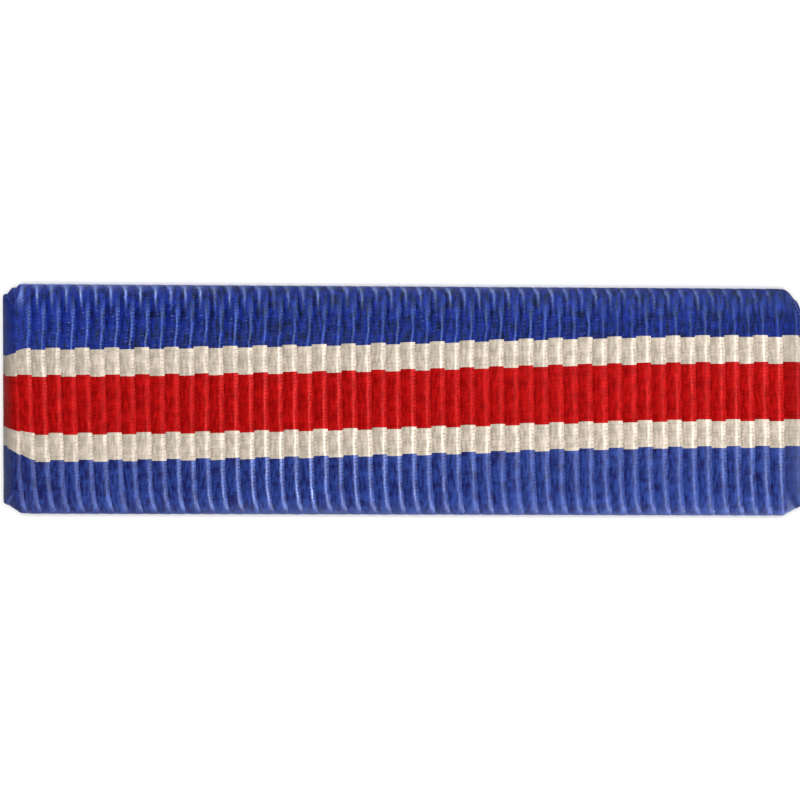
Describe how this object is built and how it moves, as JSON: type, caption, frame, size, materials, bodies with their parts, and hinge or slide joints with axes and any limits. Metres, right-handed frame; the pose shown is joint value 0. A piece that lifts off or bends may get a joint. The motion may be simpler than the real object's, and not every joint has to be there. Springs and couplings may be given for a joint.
{
  "type": "ribbon bar",
  "caption": "Uniform ribbon bar: a ribbed, striped ribbon wrapped round a folded sheet metal holder with an open-ended channel in its back.",
  "frame": {"origin": "under the middle of the bar, on the surface that it lies on", "axes": "+X along the bar, to the right in the picture; +Y across it, up in the picture; +Z out of the face"},
  "size_m": [0.035, 0.01, 0.0033],
  "materials": {
    "ribbon": "woven ribbed ribbon in blue, white and red stripes",
    "holder": "plain folded sheet, slightly dull"
  },
  "bodies": {
    "root": {"ribbon": "ribbon", "holder": "holder"}
  },
  "joints": []
}
